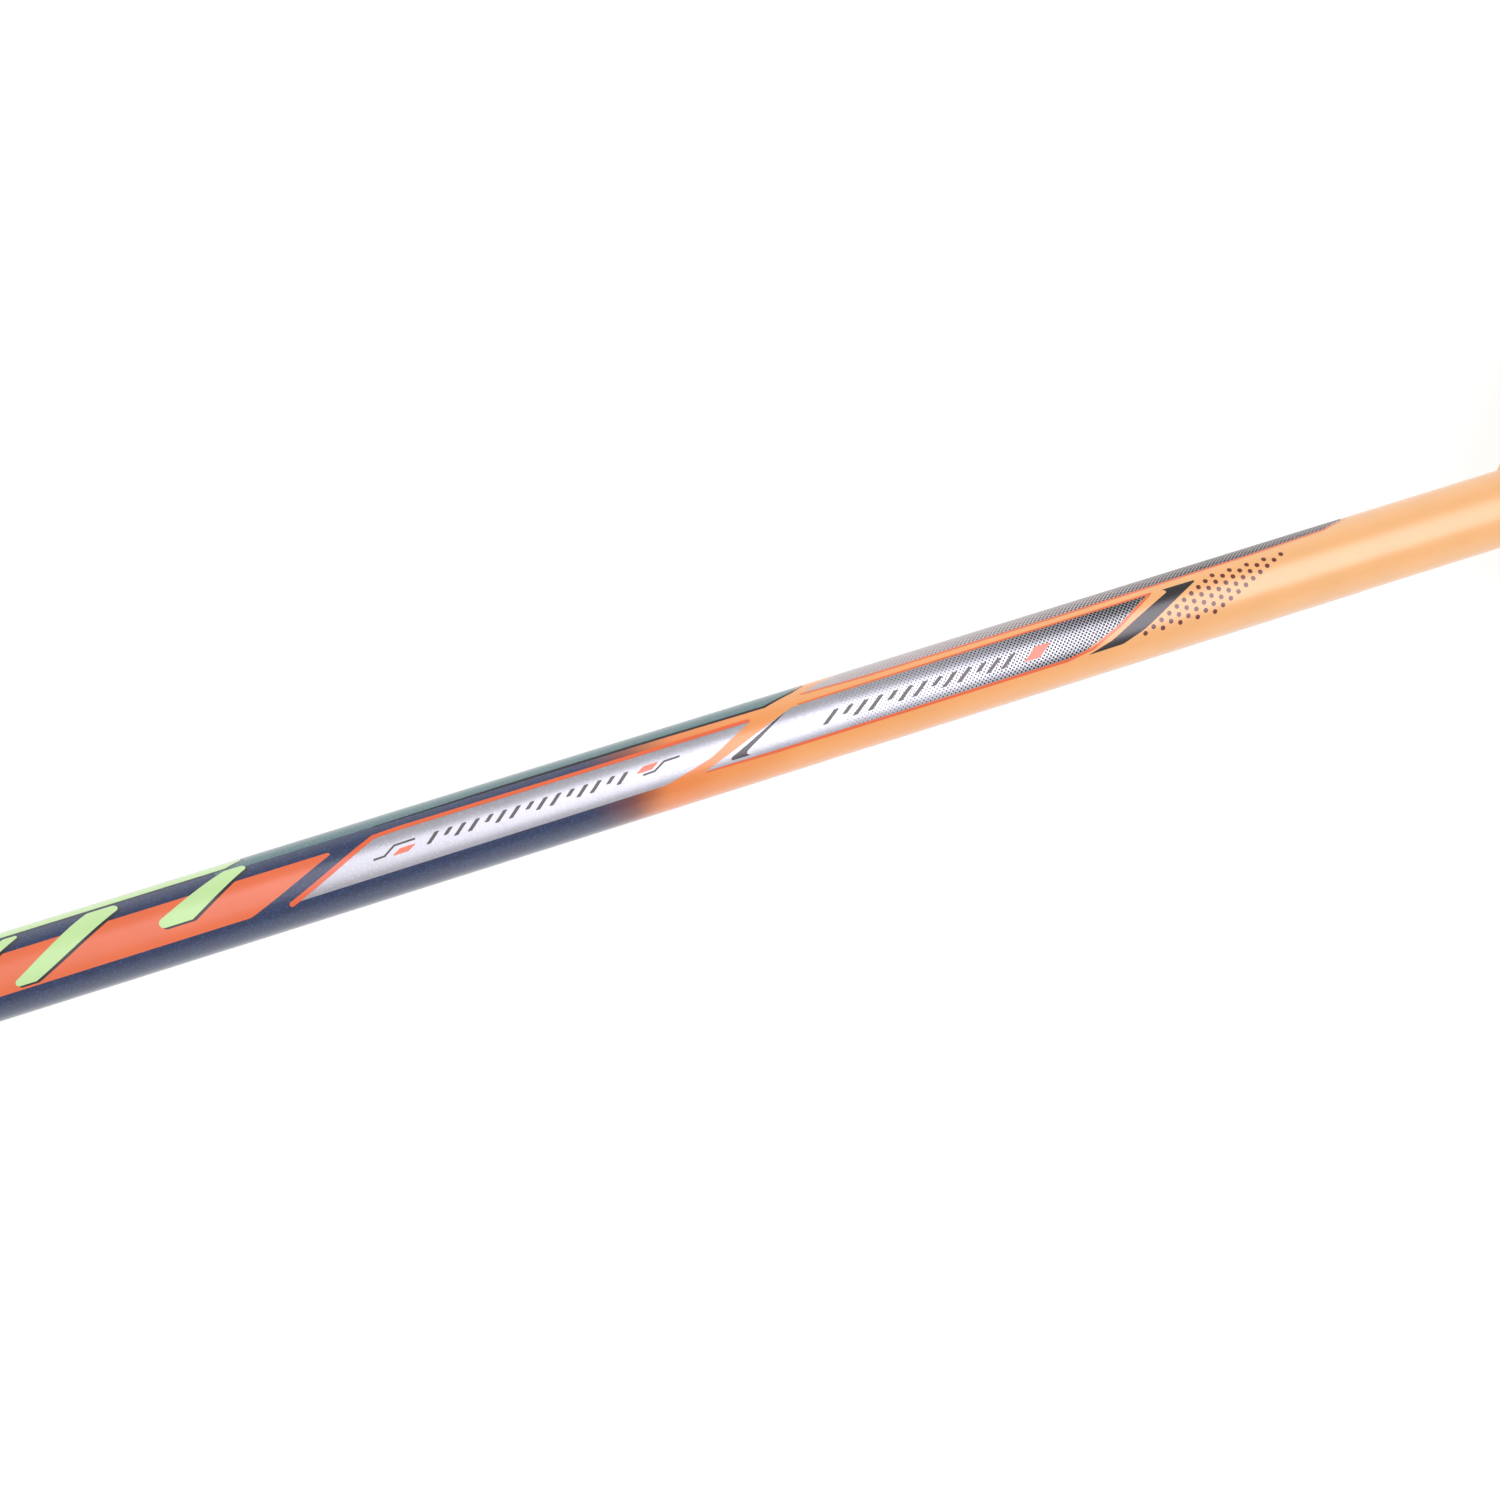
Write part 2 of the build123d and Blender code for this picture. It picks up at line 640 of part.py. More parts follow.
with BuildPart() as string_knots:
    for hole, side, inward in KNOTS:
        centre = (*knot_centre(hole, side, inward, KNOT_START), 0)
        with BuildSketch(Plane(origin=centre, x_dir=(0, 0, 1), z_dir=(*inward, 0))):
            Ellipse(*KNOT_HALVES)
            SlotOverall(*KNOT_HOLE, mode=Mode.SUBTRACT)
        extrude(amount=KNOT_LENGTH)
    fillet(string_knots.edges().filter_by(GeomType.ELLIPSE), 0.2)

string_knots.part.label = "string_knots"
export_step(string_knots.part, "parts/string_knots.step")

# ---------------------------------------------------------------- handle

with BuildPart() as grip_staples:
    for x in STAPLE_X:
        surface = -handle_sizes(x)[1]
        with BuildSketch(Plane.YZ.offset(x - STAPLE_WIDTH / 2)):
            with Locations((0, surface - STAPLE_WIRE)):
                Rectangle(STAPLE_SPAN, STAPLE_WIRE + STAPLE_LEG, align=(Align.CENTER, Align.MIN))
            with Locations((0, surface)):
                Rectangle(
                    STAPLE_SPAN - 2 * STAPLE_WIRE,
                    STAPLE_LEG,
                    align=(Align.CENTER, Align.MIN),
                    mode=Mode.SUBTRACT,
                )
        extrude(amount=STAPLE_WIDTH)

grip_staples.part.label = "grip_staples"
export_step(grip_staples.part, "parts/grip_staples.step")

with BuildPart() as handle_core:
    handle_solid(CORE_START, SPIGOT_START, 0)
    handle_solid(SPIGOT_START, CORE_END, -SPIGOT_DROP)
    round_bar(CORE_START, LIGHTENING_END, LIGHTENING_BORE, Mode.SUBTRACT)
    round_bar(LIGHTENING_END, CORE_END, SHAFT_RADIUS + GLUE_GAP, Mode.SUBTRACT)
    add(grip_staples.part, mode=Mode.SUBTRACT)

handle_core.part.label = "handle_core"
export_step(handle_core.part, "parts/handle_core.step")

with BuildPart() as cone_cap:
    with BuildSketch(Plane.XZ):
        with BuildLine():
            Polyline(
                (CORE_END, CONE_BASE_RADIUS),
                (CORE_END, 2 * CONE_BASE_RADIUS),
                (SPIGOT_START, 2 * CONE_BASE_RADIUS),
                (SPIGOT_START, 0),
                (CONE_TIP[0], 0),
                CONE_TIP,
                (CONE_TIP[0] - 0.8, CONE_COLLAR[1] - 0.3),
                CONE_COLLAR,
            )
            ThreePointArc(CONE_COLLAR, CONE_WAIST, (CORE_END, CONE_BASE_RADIUS))
        make_face()
    revolve(axis=Axis.X)
    handle_solid(SPIGOT_START, CONE_TIP[0], 0, Mode.INTERSECT)
    handle_solid(SPIGOT_START, CORE_END, GLUE_GAP - SPIGOT_DROP, Mode.SUBTRACT)
    round_bar(CORE_END, CONE_TIP[0], SHAFT_RADIUS + GLUE_GAP, Mode.SUBTRACT)
    with BuildSketch(Plane.XZ):
        with BuildLine():
            Polyline(
                (CORE_END, 0),
                (CORE_END, CONE_BASE_RADIUS - CONE_BRIDGE),
                (CONE_WAIST[0], CONE_WAIST[1] - CONE_WALL),
                (CONE_WAIST[0] + CONE_BRIDGE, SHAFT_RADIUS),
                (CONE_WAIST[0] + CONE_BRIDGE, 0),
                close=True,
            )
        make_face()
    revolve(axis=Axis.X, mode=Mode.SUBTRACT)

cone_cap.part.label = "cone_cap"
export_step(cone_cap.part, "parts/cone_cap.step")

with BuildPart() as butt_cap:
    handle_solid(0, CAP_DEPTH, CAP_GROWTH)
    fillet(butt_cap.faces().sort_by(Axis.X)[0].edges(), CAP_ROUND)
    handle_solid(CORE_START, CAP_DEPTH, GLUE_GAP, Mode.SUBTRACT)
    round_bar(CORE_START, CORE_START + BOSS_LENGTH, LIGHTENING_BORE - GLUE_GAP)
    round_bar(CORE_START, CORE_START + BOSS_LENGTH, LIGHTENING_BORE - BOSS_WALL, Mode.SUBTRACT)
    round_bar(0, LABEL_RECESS, LABEL_RADIUS + LABEL_GAP, Mode.SUBTRACT)

butt_cap.part.label = "butt_cap"
export_step(butt_cap.part, "parts/butt_cap.step")

with BuildPart() as butt_label:
    round_bar(LABEL_RECESS - LABEL_THICKNESS, LABEL_RECESS, LABEL_RADIUS)

butt_label.part.label = "butt_label"
export_step(butt_label.part, "parts/butt_label.step")

# ---------------------------------------------------------------- grip and finishing tape

with BuildPart() as grip_wrap:
    handle_solid(CAP_DEPTH, GRIP_END, GRIP_THICKNESS)
    handle_solid(CAP_DEPTH, GRIP_END, GLUE_GAP, Mode.SUBTRACT)
    add(grip_staples.part, mode=Mode.SUBTRACT)

grip_wrap.part.label = "grip_wrap"
export_step(grip_wrap.part, "parts/grip_wrap.step")

with BuildPart() as grip_tape:
    handle_solid(TAPE_START, GRIP_END + TAPE_LIP, GRIP_THICKNESS + TAPE_THICKNESS)
    handle_solid(TAPE_START, GRIP_END, GRIP_THICKNESS, Mode.SUBTRACT)
    handle_solid(GRIP_END, GRIP_END + TAPE_LIP, GLUE_GAP, Mode.SUBTRACT)

grip_tape.part.label = "grip_tape"
export_step(grip_tape.part, "parts/grip_tape.step")
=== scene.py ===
"""Looks of a badminton racket: a painted carbon shaft and frame, strings, cone, wound grip and butt cap.

Lengths are written in millimetres and turned into metres by MM. Places in the shaft's artwork are written
as (millimetres along +X, measured from PRINT_ZERO, and degrees round the shaft from +Z towards +Y).
"""

import json
import math
from itertools import product

import bmesh
import bpy
from mathutils import Matrix, Vector

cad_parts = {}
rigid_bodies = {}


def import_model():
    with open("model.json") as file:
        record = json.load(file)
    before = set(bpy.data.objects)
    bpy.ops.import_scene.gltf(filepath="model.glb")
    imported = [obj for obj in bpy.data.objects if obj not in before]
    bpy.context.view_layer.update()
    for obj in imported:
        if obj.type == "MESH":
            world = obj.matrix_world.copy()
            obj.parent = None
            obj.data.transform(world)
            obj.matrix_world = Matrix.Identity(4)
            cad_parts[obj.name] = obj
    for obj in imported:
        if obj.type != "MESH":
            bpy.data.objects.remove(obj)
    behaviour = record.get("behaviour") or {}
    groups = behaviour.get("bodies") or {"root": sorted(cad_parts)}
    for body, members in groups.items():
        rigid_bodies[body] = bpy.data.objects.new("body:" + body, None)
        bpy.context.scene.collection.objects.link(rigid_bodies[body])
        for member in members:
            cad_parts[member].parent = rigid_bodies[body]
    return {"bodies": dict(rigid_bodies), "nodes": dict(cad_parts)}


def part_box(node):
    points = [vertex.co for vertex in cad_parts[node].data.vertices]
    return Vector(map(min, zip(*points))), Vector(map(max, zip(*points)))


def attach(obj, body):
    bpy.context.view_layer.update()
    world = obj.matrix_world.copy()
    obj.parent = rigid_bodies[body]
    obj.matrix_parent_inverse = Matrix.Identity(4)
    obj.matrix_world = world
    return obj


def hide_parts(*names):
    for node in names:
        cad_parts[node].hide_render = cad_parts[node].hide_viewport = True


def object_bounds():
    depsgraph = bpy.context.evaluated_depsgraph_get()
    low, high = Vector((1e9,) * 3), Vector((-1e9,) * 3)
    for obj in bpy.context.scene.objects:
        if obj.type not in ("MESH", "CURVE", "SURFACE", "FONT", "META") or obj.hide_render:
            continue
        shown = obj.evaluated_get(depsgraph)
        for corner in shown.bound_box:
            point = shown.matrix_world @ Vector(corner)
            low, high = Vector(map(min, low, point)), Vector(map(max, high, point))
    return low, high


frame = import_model()
CAD_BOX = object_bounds()

MM = 0.001
BODY = next(iter(frame["bodies"]))
NODES = frame["nodes"]

# ---------------------------------------------------------------- sizes taken from the frame
SHAFT_LOW, SHAFT_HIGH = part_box("shaft")
SHAFT_RADIUS = SHAFT_HIGH.z / MM
SHAFT_START = SHAFT_LOW.x / MM
SHAFT_END = SHAFT_HIGH.x / MM
SHAFT_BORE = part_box("shaft_plug")[1].z / MM
CROWN = CAD_BOX[1][0] / MM
GRIP_LOW, GRIP_HIGH = (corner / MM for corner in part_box("grip_wrap"))

ARC = SHAFT_RADIUS * math.pi / 180  # millimetres round the shaft for each degree
FACES_ROUND = 96
FACE_ANGLE = 360 / FACES_ROUND
BASE_RADIUS = SHAFT_RADIUS - 0.018  # the painted tube, with room for the print inside the shaft's radius
LAYER = 0.005  # each printed layer lies this much further out than the one under it
PRINT_ZERO = -1.8  # where the artwork's millimetres along +X start


# ---------------------------------------------------------------- colours and materials
def rgb(code):
    """A colour written as six hex digits, as linear RGBA."""
    parts = [int(code[i:i + 2], 16) / 255 for i in (0, 2, 4)]
    return [c / 12.92 if c <= 0.04045 else ((c + 0.055) / 1.055) ** 2.4 for c in parts] + [1.0]


class Material:
    """A node material with one Principled shader."""

    def __init__(self, name, **values):
        self.data = bpy.data.materials.new(name)
        self.data.use_nodes = True
        self.tree = self.data.node_tree
        self.shader = self.tree.nodes["Principled BSDF"]
        self.place = self.add("ShaderNodeTexCoord").outputs["Object"]
        for key, value in values.items():
            self.set(key.replace("_", " ").title().replace("Ior", "IOR"), value)

    def set(self, socket, value):
        if isinstance(value, bpy.types.NodeSocket):
            self.tree.links.new(value, self.shader.inputs[socket])
        else:
            self.shader.inputs[socket].default_value = value

    def add(self, kind, sockets=None, **settings):
        made = self.tree.nodes.new(kind)
        for key, value in settings.items():
            setattr(made, key, value)
        for key, value in (sockets or {}).items():
            if isinstance(value, bpy.types.NodeSocket):
                self.tree.links.new(value, made.inputs[key])
            else:
                made.inputs[key].default_value = value
        return made

    def noise(self, scale, detail=2.0, roughness=0.5, place=None):
        sockets = {"Vector": place or self.place, "Scale": scale, "Detail": detail, "Roughness": roughness}
        return self.add("ShaderNodeTexNoise", sockets).outputs["Fac"]

    def cells(self, scale):
        """A random colour for each tiny cell, as for metal flakes."""
        return self.add("ShaderNodeTexVoronoi", {"Vector": self.place, "Scale": scale}).outputs["Color"]

    def span(self, value, start, end, low=0.0, high=1.0, kind="LINEAR"):
        """The value's way from start to end, kept between low and high."""
        sockets = {"Value": value, "From Min": start, "From Max": end, "To Min": low, "To Max": high}
        return self.add("ShaderNodeMapRange", sockets, interpolation_type=kind).outputs["Result"]

    def axis(self, letter, place=None):
        split = self.add("ShaderNodeSeparateXYZ", {0: place or self.place})
        return split.outputs[letter]

    def math(self, operation, *values):
        return self.add("ShaderNodeMath", dict(enumerate(values)), operation=operation).outputs[0]

    def distance(self, first, second):
        """The square root of the two squares' sum."""
        squares = [self.math("MULTIPLY", value, value) for value in (first, second)]
        return self.math("SQRT", self.math("ADD", *squares))

    def mix(self, factor, first, second, kind="MIX"):
        made = self.add("ShaderNodeMix", {0: factor, 6: first, 7: second}, data_type="RGBA", blend_type=kind)
        return made.outputs[2]

    def bump(self, height, distance, strength=1.0, socket="Normal"):
        made = self.add("ShaderNodeBump", {"Height": height, "Distance": distance, "Strength": strength})
        self.set(socket, made.outputs["Normal"])


FLAKE_SCALE = 11000.0
CLEAR_COAT = {"Coat Roughness": 0.31, "Coat IOR": 1.55, "Specular IOR Level": 0.3}


def lacquer(
    name, colour=None, flake=None, flake_share=0.2, metallic=0.0, roughness=0.32, coat=1.0, tint=None
):
    """Paint under a clear coat, with flakes or without. tint(material) gives a colour that goes by place."""
    paint = Material(name, metallic=metallic, roughness=roughness, coat_weight=coat)
    for socket, value in CLEAR_COAT.items():
        paint.set(socket, value)
    base = tint(paint) if tint else rgb(colour)
    mottle = paint.span(paint.noise(260.0, 3.0), 0.3, 0.7, 0.975, 1.025)
    grey = paint.add("ShaderNodeCombineColor", {0: mottle, 1: mottle, 2: mottle}).outputs[0]
    base = paint.mix(1.0, base, grey, "MULTIPLY")
    if flake:
        glint = paint.axis("X", paint.cells(FLAKE_SCALE))
        share = paint.span(glint, 1.0 - flake_share, 1.0, 0.0, 0.6)
        base = paint.mix(share, base, rgb(flake))
        paint.set("Roughness", paint.span(glint, 0.0, 1.0, roughness - 0.08, roughness + 0.1))
    paint.set("Base Color", base)
    paint.bump(paint.noise(1400.0, 2.0), 0.00001, 0.35, "Coat Normal")
    return paint.data


def flaked_navy(paint):
    """Navy with brighter blue flakes."""
    glint = paint.axis("Y", paint.cells(FLAKE_SCALE))
    return paint.mix(paint.span(glint, 0.7, 1.0, 0.0, 0.35), rgb("1f2c50"), rgb("4676bc"))


def hazy_reach(paint, scale, haze):
    """The place along the racket, shifted to and fro by up to so many millimetres, for a sprayed fade."""
    shift = paint.span(paint.noise(scale, 3.0), 0.3, 0.7, -haze * MM, haze * MM)
    return paint.math("ADD", paint.axis("X"), shift)


# ---------------------------------------------------------------- meshes
def smooth_object(name, bm, material):
    """Turns a bmesh in millimetres into a smooth object of that material."""
    bmesh.ops.transform(bm, matrix=Matrix.Scale(MM, 4), verts=bm.verts)
    for face in bm.faces:
        face.smooth = True
    mesh = bpy.data.meshes.new(name)
    bm.to_mesh(mesh)
    bm.free()
    made = bpy.data.objects.new(name, mesh)
    bpy.context.scene.collection.objects.link(made)
    mesh.materials.append(material)
    return made


def finish_piece(name, bm, material, replaces=()):
    """Turns a bmesh in millimetres into a named piece that rides on the racket."""
    piece = smooth_object(name, bm, material)
    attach(piece, BODY)
    if replaces:
        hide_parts(*replaces)
    return piece


def on_shaft(x, angle, radius):
    """The point at that place along the shaft, angle and distance from its axis."""
    turn = math.radians(angle)
    return Vector((x, radius * math.sin(turn), radius * math.cos(turn)))


def radial_normals(piece):
    """Gives a wrapped piece the normals of the round shaft it lies on."""
    normals = [Vector((0, v.co.y, v.co.z)).normalized() for v in piece.data.vertices]
    piece.data.normals_split_custom_set_from_vertices(normals)


EDGE_SHARE = 0.45  # the most of an edge that the arc at its corner may take
MITRE_LIMIT = 0.4  # keeps a line from growing too wide where it turns sharply


def rounded(corners, steps=5):
    """An outline from corners (x, angle, radius in millimetres), with round corners as arcs."""
    outline = []
    for i, (x, angle, radius) in enumerate(corners):
        here = Vector((x, angle * ARC))
        if not radius:
            outline.append((x, angle))
            continue
        neighbours = (corners[i - 1], corners[(i + 1) % len(corners)])
        before, after = (Vector((c[0], c[1] * ARC)) for c in neighbours)
        into, out = (before - here).normalized(), (after - here).normalized()
        half = into.angle(out) / 2
        room = EDGE_SHARE * min((before - here).length, (after - here).length)
        reach = min(radius / math.tan(half), room)
        centre = here + (into + out).normalized() * (reach / math.cos(half))
        first, last = (here + way * reach - centre for way in (into, out))
        for step in range(steps + 1):
            point = centre + first.slerp(last, step / steps) * first.length
            outline.append((point.x, point.y / ARC))
    return outline


def stroke(points, widths):
    """The outline of a line through the points, with its width in millimetres at each of them."""
    flat = [Vector((x, angle * ARC)) for x, angle in points]
    left, right = [], []
    for i, here in enumerate(flat):
        before = (here - flat[i - 1]).normalized() if i else None
        after = (flat[i + 1] - here).normalized() if i + 1 < len(flat) else None
        along = ((before or after) + (after or before)).normalized()
        side = Vector((-along.y, along.x)) * widths[i] / 2 / max(MITRE_LIMIT, along.dot(after or before))
        left.append(here + side)
        right.append(here - side)
    return [(p.x, p.y / ARC) for p in left + right[::-1]]


def dot(x, angle, radius, sides=10):
    """The outline of a round dot, or of a diamond with 4 sides."""
    turns = [2 * math.pi * i / sides for i in range(sides)]
    return [(x + radius * math.cos(t), angle + radius * math.sin(t) / ARC) for t in turns]


def print_on_shaft(name, outlines, layer, material, sliced=True):
    """Flat outlines laid round the shaft, on both of its faces, as one piece.

    sliced cuts them along the shaft, so that broad ones follow its curve.
    """
    radius = BASE_RADIUS + LAYER * layer
    bm = bmesh.new()
    for outline in outlines:
        bm.faces.new([bm.verts.new((x + PRINT_ZERO, angle, 0)) for x, angle in outline])
    if sliced:
        angles = [angle for outline in outlines for _, angle in outline]
        for i in range(math.ceil(min(angles) / FACE_ANGLE), math.floor(max(angles) / FACE_ANGLE) + 1):
            everything = bm.verts[:] + bm.edges[:] + bm.faces[:]
            cut = (0, i * FACE_ANGLE, 0)
            bmesh.ops.bisect_plane(bm, geom=everything, plane_co=cut, plane_no=(0, 1, 0), dist=1e-5)
    bmesh.ops.triangulate(bm, faces=bm.faces[:])
    bmesh.ops.recalc_face_normals(bm, faces=bm.faces[:])
    flip = [face for face in bm.faces if face.normal.z < 0]
    bmesh.ops.reverse_faces(bm, faces=flip)
    for vert in bm.verts:
        vert.co = on_shaft(vert.co.x, vert.co.y, radius)
    front = bm.verts[:] + bm.edges[:] + bm.faces[:]
    back = bmesh.ops.duplicate(bm, geom=front)["geom"]
    turned = [item for item in back if isinstance(item, bmesh.types.BMVert)]
    bmesh.ops.rotate(bm, verts=turned, cent=(0, 0, 0), matrix=Matrix.Rotation(math.pi, 3, "X"))
    radial_normals(finish_piece(name, bm, material))


# ---------------------------------------------------------------- the shaft
BROWN_FADE = (321.8, 328.6)  # where the navy turns brown, in millimetres along +X
ORANGE_FADE = (326.2, 331.8)  # where the brown turns orange
ORANGE_STOPS = (331.8, 343.0, 392.0)  # where each of the three oranges is at its fullest; the paler ones towards the head are painted light
ORANGES_PALING_AS_PAINTED_LIGHT = ("f28a40", "f8a65c", "f8ba7a")
SHAFT_STEPS = 36


def shaft_tint(paint):
    """Navy towards the handle, fading to orange before the head, the orange paling towards the head as
    painted light.
    """
    reach = hazy_reach(paint, 160.0, 1.0)
    warm, bright = (
        paint.span(reach, start * MM, end * MM, kind="SMOOTHSTEP") for start, end in (BROWN_FADE, ORANGE_FADE)
    )
    brown = paint.mix(warm, flaked_navy(paint), rgb("8c4630"))
    # the paler oranges towards the head are painted light, for the brighter light there
    orange = rgb(ORANGES_PALING_AS_PAINTED_LIGHT[0])
    for start, end, code in zip(ORANGE_STOPS, ORANGE_STOPS[1:], ORANGES_PALING_AS_PAINTED_LIGHT[1:]):
        orange = paint.mix(paint.span(reach, start * MM, end * MM), orange, rgb(code))
    return paint.mix(bright, brown, orange)


def build_shaft():
    """The tube that takes the CAD shaft's place: its round wall, its bore and its ring-shaped ends."""
    bm = bmesh.new()
    stations = [SHAFT_START + (SHAFT_END - SHAFT_START) * i / SHAFT_STEPS for i in range(SHAFT_STEPS + 1)]
    profile = [(SHAFT_START, SHAFT_BORE)] + [(x, BASE_RADIUS) for x in stations] + [(SHAFT_END, SHAFT_BORE)]
    angles = [i * FACE_ANGLE for i in range(FACES_ROUND)]
    rings = [[bm.verts.new(on_shaft(x, angle, radius)) for angle in angles] for x, radius in profile]
    rings.append(rings[0])
    for low, high in zip(rings, rings[1:]):
        for i in range(FACES_ROUND):
            j = (i + 1) % FACES_ROUND
            bm.faces.new((low[i], low[j], high[j], high[i]))
    bmesh.ops.recalc_face_normals(bm, faces=bm.faces[:])
    paint = lacquer("shaft_lacquer", roughness=0.36, tint=shaft_tint)
    piece = finish_piece("shaft_tube", bm, paint, replaces=["shaft"])
    piece.data.set_sharp_from_angle(angle=math.radians(40))


# ---------------------------------------------------------------- the shaft's artwork
STRIP_BACK = 90.0  # the side strips meet their copies on the other face at this angle
SHADOW_SHIFT = (0.22, -3.0)  # of the dark edges under the bold slashes, in millimetres and degrees
SHORT_TICK = 0.36  # the share of its length that every third tick leaves out
HALFTONE_PITCH = 0.41


def slash(x, lean, width, low, high, soft=0.05, flare=0.0):
    """A slanted bar. flare is how much wider it is at its upper end."""
    corners = [(x, low), (x + width, low), (x + width + lean + flare, high), (x + lean, high)]
    return rounded([(along, angle, soft) for along, angle in corners])


def tick_row(start, step, count, lean, width, low, high):
    """A row of parallel slanted ticks, every third of them short, in place of the words of a real racket."""
    ticks = []
    for i in range(count):
        cut = SHORT_TICK if i % 3 == 1 else 0.0
        x = start + step * i + lean * cut
        ticks.append(slash(x, lean * (1 - cut), width, low + (high - low) * cut, high))
    return ticks


def bold_slashes(shift_x=0.0, shift_angle=0.0):
    """Broad slanted bars and a rail on the orange panel, in place of the numerals of a real racket."""
    # each is (place along the shaft, lean, width, lower angle, upper angle, flare)
    bars = [(247.6 + 4.4 * i, 8.4, 1.7, -20.0, 55.5, 0.0) for i in range(5)]
    bars += [(272.4, 8.4, 2.6, -20.0, 55.5, 1.3), (284.4, 8.4, 4.4, -3.0, 55.5, -1.7)]
    bars += [(250.0, 2.8, 43.0, 61.0, 82.0, 0.0)]
    return [
        slash(x + shift_x, lean, width, low + shift_angle, high + shift_angle, 0.4, flare)
        for x, lean, width, low, high, flare in bars
    ]


def halftone(outline, grow_start, grow_end, smallest, largest):
    """Staggered diamonds inside an outline, growing along the shaft, and growing towards both of its edges as
    painted shade.
    """
    low, high = (find(angle for _, angle in outline) for find in (min, max))
    end = max(x for x, _ in outline)
    row_step = HALFTONE_PITCH / 2
    rows = range(int((high - low) * ARC / row_step) + 2)
    columns = range(int((end - grow_start) / HALFTONE_PITCH) + 2)
    dots = []
    for row, column in product(rows, columns):
        x = grow_start + HALFTONE_PITCH * (column + (row % 2) / 2)
        size = smallest + (largest - smallest) * min(1, (x - grow_start) / (grow_end - grow_start))
        # larger towards both edges of the band: painted shade for the darker sides of the round shaft
        size *= 1.04 + 0.2 * (2 * row / len(rows) - 1) ** 2
        shape = clipped(dot(x, low + row * row_step / ARC, size, 4), outline)
        if shape:
            dots.append(shape)
    return dots


def clipped(shape, outline):
    """The part of a shape inside a convex outline that runs from +X towards the larger angles."""
    for (x0, a0), (x1, a1) in zip(outline, outline[1:] + outline[:1]):
        sides = [(x1 - x0) * (a - a0) - (a1 - a0) * (x - x0) for x, a in shape]
        if min(sides) >= 0:
            continue
        kept = []
        for i, (x, a) in enumerate(shape):
            if (sides[i] > 0) != (sides[i - 1] > 0):
                way = sides[i] / (sides[i] - sides[i - 1])
                kept.append((x + (shape[i - 1][0] - x) * way, a + (shape[i - 1][1] - a) * way))
            if sides[i] > 0:
                kept.append((x, a))
        if len(kept) < 3:
            return []
        shape = kept
    return shape


